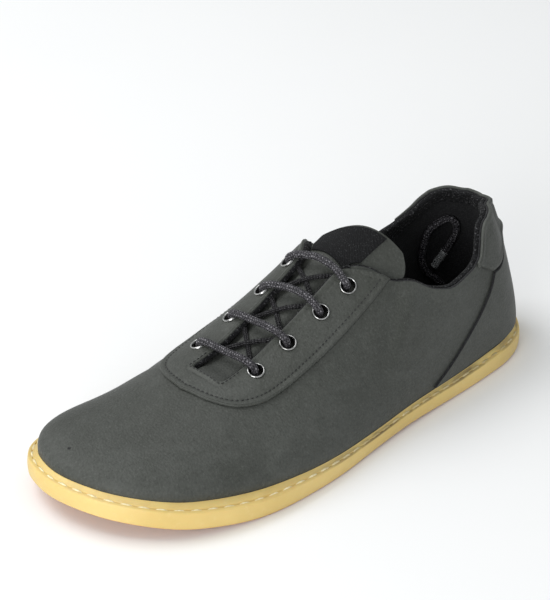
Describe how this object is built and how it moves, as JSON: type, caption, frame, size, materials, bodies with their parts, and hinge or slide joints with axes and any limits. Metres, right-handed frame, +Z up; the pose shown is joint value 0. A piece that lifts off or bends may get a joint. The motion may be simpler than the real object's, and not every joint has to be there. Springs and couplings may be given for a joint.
{
  "type": "barefoot shoe",
  "caption": "Flat-soled leather lace-up shoe with a wide toe, a stitched cup sole, a padded tongue and laces through round eyelets.",
  "frame": {"origin": "on the floor under the middle of the shoe's bounding box", "axes": "+Z up, -Y towards the toe, +X towards the outer (lateral) side of this left shoe"},
  "size_m": [0.109, 0.285, 0.0857],
  "materials": {
    "gum_rubber": "satin gum rubber with a stitched ledge",
    "leather": "matt waxed nubuck",
    "lining": "black textile",
    "webbing": "woven tape",
    "eyelet_metal": "polished",
    "waxed_cord": "braided waxed cord"
  },
  "bodies": {
    "root": {"outsole": "gum_rubber", "insole": "lining", "upper": "leather", "eyestay": "leather", "heel_counter": "leather", "heel_tab": "leather", "tongue": "leather", "tongue_label": "webbing", "eyelet_lateral_1": "eyelet_metal", "eyelet_lateral_2": "eyelet_metal", "eyelet_lateral_3": "eyelet_metal", "eyelet_lateral_4": "eyelet_metal", "eyelet_medial_1": "eyelet_metal", "eyelet_medial_2": "eyelet_metal", "eyelet_medial_3": "eyelet_metal", "eyelet_medial_4": "eyelet_metal", "lace": "waxed_cord", "lace_end": "waxed_cord"}
  },
  "joints": []
}
